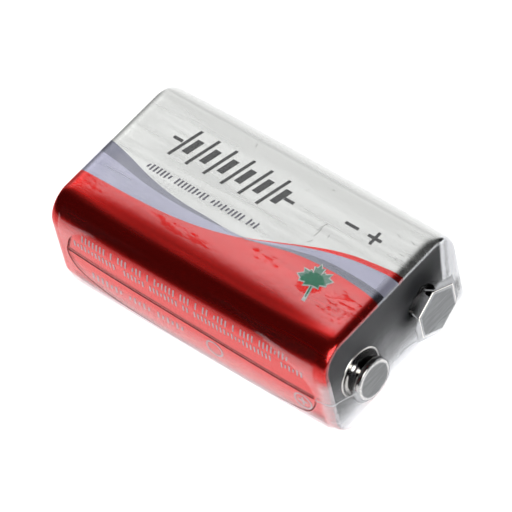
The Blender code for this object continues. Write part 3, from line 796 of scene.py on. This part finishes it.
def smooth_loop(points, steps=10):
    """Closed smooth line through the points."""
    count = len(points)
    line = []
    for i in range(count):
        p0, p1, p2, p3 = (np.array(points[(i + k) % count]) for k in (-1, 0, 1, 2))
        for step in range(steps):
            t = step / steps
            line.append(0.5 * (2 * p1 + (p2 - p0) * t + (2 * p0 - 5 * p1 + 4 * p2 - p3) * t * t
                               + (3 * p1 - p0 - 3 * p2 + p3) * t ** 3))
    return np.array(line)


def distance_inside(points, loop):
    """Signed distance of points to a closed line, above zero inside it."""
    start, end = loop, np.roll(loop, -1, axis=0)
    span = end - start
    reach = points[:, None, :] - start[None]
    share = np.clip((reach * span).sum(-1) / (span * span).sum(-1), 0, 1)
    gap = np.linalg.norm(reach - share[..., None] * span, axis=-1).min(1)
    above = (start[None, :, 1] > points[:, None, 1]) != (end[None, :, 1] > points[:, None, 1])
    rise = np.where(np.abs(span[:, 1]) < 1e-12, 1e-12, span[:, 1])
    crossing = start[None, :, 0] + (points[:, None, 1] - start[None, :, 1]) / rise * span[None, :, 0]
    inside = (above & (points[:, None, 0] < crossing)).sum(1) % 2 == 1
    return np.where(inside, gap, -gap)


# Where the film touches the top: (x, y, reach along, reach across, least blot), in mm
stuck_places = ((12.9, -4.0, 2.3, 2.5, 0.2), (18.5, -4.8, 5.0, 3.4, 0.46), (5.0, -3.9, 5.0, 1.5, 0.48),
                (-21.0, -7.2, 4.0, 1.8, 0.42), (-6.0, -6.6, 8.0, 1.2, 0.42))
# Short creases at two corners of the socket, from (y, z) to (y, z) in mm
corner_creases = [
    ((negative_y * 1000, middle_z * 1000 + 3.95), (negative_y * 1000 - 0.75, middle_z * 1000 + 4.5)),
    ((negative_y * 1000 - 3.42, middle_z * 1000 + 2.0), (negative_y * 1000 - 3.75, middle_z * 1000 + 3.0))]


def film_material(name):
    """Clear film: it mirrors most at grazing angles, more where a painted sheen is stored, is
    white where it is creased, and is painted dark along its weld and patch edge as painted shade."""
    material, tree, shader = finish_material(name, Roughness=0.08, Specular_IOR_Level=0.0)
    place, along, across, up = part_position(tree)

    def stored(label):
        return add_node("Attribute", tree=tree, attribute_name=label).outputs["Fac"]

    def thin_line(value, half, soft=0.05):
        return ramp(maths("ABSOLUTE", value), half, half + soft, 1.0, 0.0)

    painted_sheen, milk, lift, depth = (stored(label) for label in ("painted_sheen", "milk", "lift", "depth"))
    facing = add_node("LayerWeight", {"Blend": 0.5}, tree=tree).outputs["Facing"]
    steep = maths("POWER", facing, 5.0)

    # Where the film touches the jacket there is no air behind it, so it isn't seen
    blot = noise(stretched(place, (0.8, 2.3, 2.3)), 1.0, 3.0, 0.6)
    stuck = 0.0
    for middle_x, middle_y, reach_x, reach_y, full in stuck_places:
        far_x = times_plus(along, 1 / reach_x, -middle_x / reach_x)
        far_y = times_plus(across, 1 / reach_y, -middle_y / reach_y)
        far = plus(times(far_x, far_x), times(far_y, far_y))
        border = ramp(far, 0.1, 1.0, full + 0.07, 0.8)
        spots = ramp(minus(blot, border), -0.015, 0.015)
        stuck = larger(stuck, spots)
    crimped = ramp(maths("ABSOLUTE", along), 19.5, 22.5, 0.0, 0.8)
    stuck = larger(stuck, crimped)
    veil = times(lift, minus(1.0, stuck))
    mirror = times(steep, ramp(lift, 0.0, 1.0, 0.30, 0.42, smooth=False))
    slack = times(ramp(along, -20.0, 14.0, 0.044, 0.062, smooth=False),
                  ramp(across, -3.0, 0.5, 1.0, 0.35), ramp(across, -8.6, -7.4, 0.1, 1.0))
    streak = noise(stretched(place, (1.0, 0.5, 4.0), turn=0.6), 0.9, 4.0)
    # Painted reflection: the stored sheen raises the film's mirror where it is set
    painted_sheen = times(painted_sheen, ramp(streak, 0.3, 0.7, 0.85, 1.15))
    gloss = larger(plus(mirror, times_plus(veil, slack, 0.006)), painted_sheen)

    # Weld along the near side, and the edge of the long patch where the film touches: dark lines
    # of painted shade where the film's step shows dark, and a pale painted highlight above the weld
    weld = times_plus(along, weld_slope, minus(up, weld_height))
    on_side = times(ramp(across, -12.2, -12.4), ramp(along, -21.8, -21.5), ramp(along, 19.2, 19.0))
    dark = times(thin_line(weld, 0.065), on_side)
    weld_highlight = times(thin_line(minus(weld, 0.30), 0.06), on_side, 0.06)
    edge = ramp(up, 9.0, 5.0, 0.0, 0.55)
    edge = larger(edge, times(ramp(along, -17.0, -21.0, 0.0, 0.8), ramp(up, 13.0, 11.0)))
    dark = larger(dark, times(thin_line(depth, 0.04, 0.06), edge, ramp(across, -8.0, -9.0)))

    # Creases over the terminals: one from the lip to the stud, one arc between the two
    past_x = ramp(along, 21.9, 22.1)
    rise = maths("MINIMUM", times_plus(across, 0.46, 13.3), 8.8)
    crease = times(thin_line(minus(up, rise), 0.05), ramp(across, -9.7, -9.9), past_x, 0.5)
    turned_in = times(thin_line(weld, 0.07), ramp(across, -11.8, -12.0), ramp(along, 19.2, 19.5), 0.55)
    crease = larger(crease, turned_in)
    bend = plus(across, 1.3)
    arch = minus(up, times_plus(times(bend, bend), -0.0487, 7.0))
    arch = times(thin_line(arch, 0.05), ramp(across, -1.6, -1.0), ramp(across, 3.3, 2.8), past_x, 0.28)
    flat = vector(0.0, across, up)
    for start, end in corner_creases:
        middle = (0.0, *[(a + b) / 2 for a, b in zip(start, end)])
        half = (0.0, *[(b - a) / 2 for a, b in zip(start, end)])
        off = vector_maths("SUBTRACT", flat, middle, output="Vector")
        run = maths("DIVIDE", vector_maths("DOT_PRODUCT", off, half), half[1] ** 2 + half[2] ** 2)
        run = larger(maths("MINIMUM", run, 1.0), -1.0)
        nearest = add_node("VectorMath", {0: half, 3: run}, operation="SCALE").outputs[0]
        gap = vector_maths("DISTANCE", off, nearest)
        crease = larger(crease, times(thin_line(gap, 0.035, 0.045), past_x, 0.75))
    milk = larger(milk, crease, larger(arch, weld_highlight))

    cover = maths("MAXIMUM", larger(gloss, milk), times(dark, 0.9), clamp=True)
    grey = mixed(ramp(streak, 0.35, 0.7), (0.38, 0.39, 0.40, 1.0), (0.47, 0.48, 0.49, 1.0))
    pale = mixed(ramp(milk, 0.60, 0.66), (0.94, 0.95, 0.98, 1.0), grey)
    clear = maths("SUBTRACT", 1.0, ramp(larger(milk, dark), 0.05, 0.3), clamp=True)
    feed(shader, Base_Color=mixed(ramp(dark, 0.0, 0.2), pale, (0.045, 0.001, 0.001, 1.0)), Metallic=clear,
         Alpha=cover)
    dent(shader, noise(place, 0.8, 3.0), 0.04, 0.0002)
    return material


def set_values(mesh, name, values):
    """Store one number for each point of a mesh."""
    stored = mesh.attributes.new(name, "FLOAT", "POINT")
    stored.data.foreach_set("value", np.asarray(values, dtype=np.float32))


def fade(value, start, reach):
    """Share of the way from start over a reach, which is negative where it falls."""
    return np.clip((value - start) / reach, 0, 1)


clear_film = film_material("clear_film")
sections = [(base_x - film_skin, lip)] + skin(-film_skin, film_rings) + [(end_x + film_skin, lip)]
sections += [(end_x + film_gap, lip)] + skin(-film_gap, film_rings)[::-1] + [(base_x - film_gap, lip)]
film_mesh = ring_mesh("film_sleeve", sections)
spots = np.empty(len(film_mesh.vertices) * 3)
film_mesh.vertices.foreach_get("co", spots)
spots = spots.reshape(-1, 3)

# Round the patch the film stands off the near side, within the solid film's box
patch = smooth_loop(patch_points)
near = spots[:, 1] < -half_width + jacket_corner
depth_in = np.full(len(spots), -3.0)
depth_in[near] = distance_inside(spots[near][:, [0, 2]] * 1000, patch)
inner_skin = np.where(spots[:, 1] < -half_width - film_gap * 1.5, 0, film_wall)
room_y = np.clip(film_limit_y - np.abs(spots[:, 1]) - inner_skin, 0, 1)
stand = np.clip(film_stand * (1 - np.exp(np.minimum(depth_in, 0) / 0.8)), 0, room_y)
on_side = near & (np.abs(spots[:, 2] - middle_z) < half_thickness - edge_margin)
on_side &= (spots[:, 0] > base_x + crimp_length) & (spots[:, 0] < end_x - crimp_length)
spots[on_side, 1] -= stand[on_side]
film_mesh.vertices.foreach_set("co", spots.ravel())

# A painted reflection: the film's sheen is whitish low down, more so outside the patch,
# and towards the terminal end
height_mm = spots[:, 2] * 1000
side_sheen = np.where(depth_in > 0, 0.03 + 0.22 * fade(height_mm, 8.0, -5.0),
                     0.11 + 0.62 * fade(height_mm, 4.8, -2.8))
side_sheen = np.where(near & on_side, side_sheen, 0.0)
ahead = fade(spots[:, 0] * 1000, 19.6, 1.2) * fade(height_mm, 12.5, -2.0)
side_sheen = np.maximum(side_sheen, np.where(near & (spots[:, 1] < near_face), 0.34 * ahead, 0.0))
set_values(film_mesh, "milk", np.zeros(len(spots)))
set_values(film_mesh, "painted_sheen", side_sheen)
set_values(film_mesh, "lift", np.where(near & (depth_in > 0), 0.0, 1.0))
set_values(film_mesh, "depth", np.where(near, np.clip(depth_in, -3.0, 3.0), -3.0))
fit_piece("film_sleeve", film_mesh, clear_film, "clear_film", "film_wrap")

# Film over the terminals: the same clear film, drawn tight like a drum skin from the
# rolled edge up to the rim of the stud and the mouth of the socket.
grid_step = 0.00014
grid_half_y, grid_half_z = 0.0132, 0.0086
tent_inset = 0.00012
film_crimp_length = crimp_length + film_skin
film_crimp_depth = crimp_depth + film_skin
end_wall = 0.00004
start_rise = 0.001
ledge_width, ledge_slope = 0.0004, 0.6
stud_ledge_drop, crown_ledge_drop = 0.0004, 0.00012
band_width = 0.00075
cap_soft = 0.0002
black_y, black_z = -0.5, 0.866
shadow_way_y, shadow_way_z = 0.45, -0.89
pull_steps, pull_reach, tension_pull = 1400, 1.9, 1.2e-7
grid_y, grid_z = np.meshgrid(np.arange(-grid_half_y, grid_half_y, grid_step),
                             np.arange(-grid_half_z, grid_half_z, grid_step))


def depth_from_edge(y, z):
    """Distance inwards from the outside of the film sleeve."""
    corner = jacket_corner + film_skin
    dy = np.abs(y) - (half_width + film_skin - corner)
    dz = np.abs(z) - (half_thickness + film_skin - corner)
    far = np.hypot(np.maximum(dy, 0), np.maximum(dz, 0)) + np.minimum(np.maximum(dy, dz), 0)
    return corner - far


def hexagon_reach(y, z):
    """Distance outwards from the flats of a hexagon with its corners up and down."""
    across_flats = [np.abs(y * math.cos(angle) + z * math.sin(angle))
                    for angle in (math.radians(degrees) for degrees in (0, 60, 120))]
    return np.max(across_flats, axis=0)


def black_side(y, z):
    """True beyond the flat of the hexagon that leans up and towards the stud."""
    return black_y * y + black_z * z > 0.97 * hexagon_reach(y, z)


def past_corner(y, z):
    """Share of a band's width round the mouth: nothing on the black side, all of it a
    little past its corners."""
    lean = 1 - (black_y * y + black_z * z) / np.maximum(hexagon_reach(y, z), 0.0001)
    return fade(lean, 0.03, 0.35)


def rounded_top(reach, limit, height, soft=0.0003):
    """Height of a rim that rounds off within its limit, far below beyond it."""
    past = np.clip(reach - (limit - soft), 0, soft)
    return np.where(reach <= limit, height - soft + np.sqrt(soft * soft - past * past * 0.999), -1.0)


edge_depth = depth_from_edge(grid_y, grid_z)
crimp_share = np.clip(1 - edge_depth / film_crimp_depth, 0, 1)
crimp_height = end_x + film_skin - film_crimp_length * (1 - np.sqrt(1 - crimp_share ** 2))
support = np.where(edge_depth < film_crimp_depth + jacket_lip, crimp_height, end_x - 0.0002)
stud_reach = np.hypot(grid_y - positive_y, grid_z)
crown_reach = hexagon_reach(grid_y - negative_y, grid_z)
mouth = crown_mouth * math.cos(math.radians(30))
stud_skin = rounded_top(stud_reach, stud_head + 0.00003, stud_high[0] - 0.00005)
crown_skin = rounded_top(crown_reach, mouth + 0.00003, crown_rim + 0.00003)
crown_skin = np.where(crown_reach < mouth - snap_metal, -1.0, crown_skin)
stud_ledge = stud_high[0] - stud_ledge_drop - ledge_slope * np.maximum(stud_reach - stud_head, 0)
stud_ledge = np.where(stud_reach < stud_head + ledge_width, stud_ledge, -1.0)
stud_ledge = np.where(shadow_way_y * (grid_y - positive_y) + shadow_way_z * grid_z > 0.0005, stud_ledge, -1.0)
crown_past = crown_reach - mouth
on_ledge = crown_past < ledge_width * past_corner(grid_y - negative_y, grid_z)
crown_ledge = crown_rim - crown_ledge_drop - ledge_slope * np.maximum(crown_past, 0)
crown_ledge = np.where(on_ledge, crown_ledge, -1.0)
support = np.maximum.reduce([support, stud_skin, crown_skin, stud_ledge, crown_ledge])
fixed = edge_depth < tent_inset
height = np.where(fixed, crimp_height, np.maximum(support, end_x + start_rise))

# The free film is pulled level with its neighbours, over and over, as a tight skin is
checker = (np.indices(height.shape).sum(0) % 2).astype(bool)
for pull in range(pull_steps):
    for colour_of in (checker, ~checker):
        around = np.zeros_like(height)
        around[1:-1, 1:-1] = (height[:-2, 1:-1] + height[2:, 1:-1] + height[1:-1, :-2]
                              + height[1:-1, 2:]) / 4
        moved = height + pull_reach * (around - tension_pull - height)
        free = colour_of & ~fixed
        height[free] = np.maximum(moved[free], support[free])


def film_height(y, z):
    """Height of the tight film at a point, between the grid's points."""
    column = (y - grid_y[0, 0]) / grid_step
    row = (z - grid_z[0, 0]) / grid_step
    i, j = int(row), int(column)
    u, v = column - j, row - i
    return ((height[i, j] * (1 - u) + height[i, j + 1] * u) * (1 - v)
            + (height[i + 1, j] * (1 - u) + height[i + 1, j + 1] * u) * v)


edge_line = outline(-film_skin + tent_inset)
edge_count = len(edge_line)
rounds = 76
bm = bmesh.new()
rims = []
for drop in (0.0, end_wall):
    rings = [[bm.verts.new((film_height(0.0, 0.0) - drop, 0.0, middle_z))]]
    for ring in range(1, rounds + 1):
        share = ring / rounds
        placed = [(y * share, z * share) for y, z in edge_line]
        rings.append([bm.verts.new((film_height(y, z) - drop, y, middle_z + z)) for y, z in placed])
    for inner_ring, outer_ring in zip(rings, rings[1:]):
        for i in range(edge_count):
            join_rings(bm, inner_ring, outer_ring, i, (i + 1) % edge_count)
    rims.append(rings[-1])
for i in range(edge_count):
    join_rings(bm, *rims, i, (i + 1) % edge_count)
end_mesh = mesh_from(bm, "film_end")
spots = np.array([vert.co for vert in end_mesh.vertices])
stud_reach = np.hypot(spots[:, 1] - positive_y, spots[:, 2] - middle_z)
crown_reach = hexagon_reach(spots[:, 1] - negative_y, spots[:, 2] - middle_z)

# Milky film: on the tops of the snaps, in rings and bands round them
caps = np.maximum(fade(stud_reach, stud_head - cap_soft, -cap_soft),
                  fade(crown_reach, mouth - cap_soft, -cap_soft))
stud_ring = np.clip(1 - np.abs(stud_reach - stud_head + 0.00005) / 0.00016, 0, 1)
crown_ring = np.clip(1 - np.abs(crown_reach - mouth + 0.00005) / 0.00022, 0, 1)
away_y, away_z = spots[:, 1] - negative_y, spots[:, 2] - middle_z
# The milky ring and band are left off the socket's black side, which stays dark as painted shade
white_side = np.where(black_side(away_y, away_z), 0.0, 1.0)
past_rim = crown_reach - mouth
band_reach = band_width * past_corner(away_y, away_z)
crown_band = fade(past_rim, 0, 0.0001) * fade(past_rim, band_reach, -0.0002)
stud_lower = fade(-0.8 * (spots[:, 1] - positive_y) - 0.6 * away_z, 0.0012, 0.0012)
stud_band = stud_lower * np.clip(1.5 - np.abs(stud_reach - stud_head - 0.0002) / 0.00025, 0, 1)
milk_values = [0.68 * caps, 0.34 * stud_ring, 0.55 * crown_ring * white_side, 0.55 * crown_band,
               0.45 * stud_band]
set_values(end_mesh, "milk", np.maximum.reduce(milk_values))

# Sheen, a painted reflection: strong low down and along the far end.  Painted shade clears it
# round the snaps: round the stud and along the stud's shadow, and in two spots by the socket
above_plate = (spots[:, 0] - end_x) * 1000
height_mm = spots[:, 2] * 1000 - 1.5 * above_plate
across_mm = spots[:, 1] * 1000 + 0.77 * above_plate
low_end = 0.020 + 0.42 * np.exp((3.2 - height_mm) / 2.2) + 0.04 * np.exp(-((height_mm - 8.5) / 2.2) ** 2)
low_end += 0.5 * np.exp((2.4 - height_mm) / 1.6) * fade(across_mm, -6.0, 3.0)


def spot_at(y, z, reach_y, reach_z):
    """Soft round spot on the plate, in mm."""
    return np.exp(-((across_mm - y) / reach_y) ** 2 - ((height_mm - z) / reach_z) ** 2)


# Painted shade: the sheen is taken away in two soft spots by the socket
low_end *= 1 - np.maximum(spot_at(5.5, 12.5, 3.8, 2.8), spot_at(3.0, 9.5, 2.6, 2.4))
# Painted shadow: the sheen is cleared round the stud and along the way its shadow falls
stud_y, stud_z = across_mm - positive_y * 1000, height_mm - middle_z * 1000
past_stud = np.clip(shadow_way_y * stud_y + shadow_way_z * stud_z, 0, 4.2)
from_stud = np.hypot(stud_y - shadow_way_y * past_stud, stud_z - shadow_way_z * past_stud)
low_end *= 0.12 + 0.88 * fade(from_stud + 0.2 * past_stud, 3.3, 0.3)
far_line = across_mm - 9.2 - 0.16 * (height_mm - 10.0)
far_band = 0.48 * fade(far_line, 0, 0.3) * fade(far_line, 3.8, -0.6)
far_band *= fade(height_mm, 6.0, 2.0) * (1 - 0.45 * np.exp(-((far_line - 1.1) / 0.4) ** 2))
on_plate = fade(depth_from_edge(spots[:, 1], spots[:, 2] - middle_z), 0.00055, 0.0003)
set_values(end_mesh, "painted_sheen", np.maximum(np.clip(low_end, 0, 0.95) * on_plate, far_band))
set_values(end_mesh, "lift", np.zeros(len(spots)))
set_values(end_mesh, "depth", np.full(len(spots), -3.0))
fit_piece("film_end", end_mesh, clear_film, "clear_film", "film_wrap")

# Plates, pads, cells and strips: the parts inside keep their solids, each in the
# finish of its stock.
grain = bpy.data.node_groups.new("grain", "ShaderNodeTree")
for name, kind, way in (("Vector", "Vector", "INPUT"), ("Scale", "Float", "INPUT"),
                        ("Dark", "Color", "INPUT"), ("Light", "Color", "INPUT"),
                        ("Color", "Color", "OUTPUT"), ("Height", "Float", "OUTPUT")):
    grain.interface.new_socket(name, in_out=way, socket_type="NodeSocket" + kind)
entry = grain.nodes.new("NodeGroupInput").outputs
speck = noise(entry["Vector"], entry["Scale"], 6.0, 0.65)
feed(grain.nodes.new("NodeGroupOutput"), Height=speck,
     Color=mixed(ramp(speck, 0.3, 0.7), entry["Dark"], entry["Light"]))


def stock(nodes, name, dark, light, scale, rough, metallic=0.0, bump=0.2, coat=0.0, specular=0.5):
    """Grained material, given to the solids that are made of it."""
    material, tree, shader = finish_material(name, Metallic=metallic, Roughness=rough, Coat_Weight=coat,
                                             Specular_IOR_Level=specular)
    looks = add_node("Group", {"Vector": part_position(tree)[0], "Scale": scale, "Dark": (*dark, 1.0),
                               "Light": (*light, 1.0)}, node_tree=grain)
    feed(shader, Base_Color=looks.outputs["Color"])
    dent(shader, looks.outputs["Height"], bump)
    for node in nodes:
        bpy.data.objects[node].material_slots[0].material = material


def cell_parts(piece):
    """Nodes of one piece in each of the six cells."""
    return ["cell_%d_%s" % (cell, piece) for cell in range(1, 7)]


stock(["terminal_plate", "base_plate"],
      "black_board", (0.008, 0.0085, 0.010), (0.014, 0.015, 0.017), 9.0, 0.5, specular=0.2)
stock(["jacket_liner", "bottom_pad", "top_pad"],
      "grey_card", (0.30, 0.24, 0.17), (0.50, 0.42, 0.31), 6.0, 0.9, bump=0.6)
stock(["stack_sleeve"],
      "shrunk_sleeve", (0.70, 0.68, 0.58), (0.80, 0.78, 0.70), 1.5, 0.35, coat=0.3)
stock(["positive_contact", "positive_tab", "negative_strip", "positive_rivet", "negative_rivet"],
      "tinned_strip", (0.55, 0.55, 0.55), (0.75, 0.75, 0.74), 3.0, 0.28, metallic=1.0)
stock(cell_parts("envelope"),
      "cell_band", (0.75, 0.75, 0.70), (0.86, 0.86, 0.83), 1.5, 0.35, coat=0.3)
stock(cell_parts("zinc_plate"),
      "zinc_sheet", (0.38, 0.40, 0.43), (0.55, 0.57, 0.60), 4.0, 0.45, metallic=1.0)
stock(cell_parts("separator"),
      "separator_paper", (0.70, 0.61, 0.44), (0.82, 0.74, 0.58), 7.0, 0.9, bump=0.5)
stock(cell_parts("mix_cake"),
      "pressed_mix", (0.008, 0.008, 0.008), (0.035, 0.035, 0.035), 10.0, 0.95, bump=0.9)
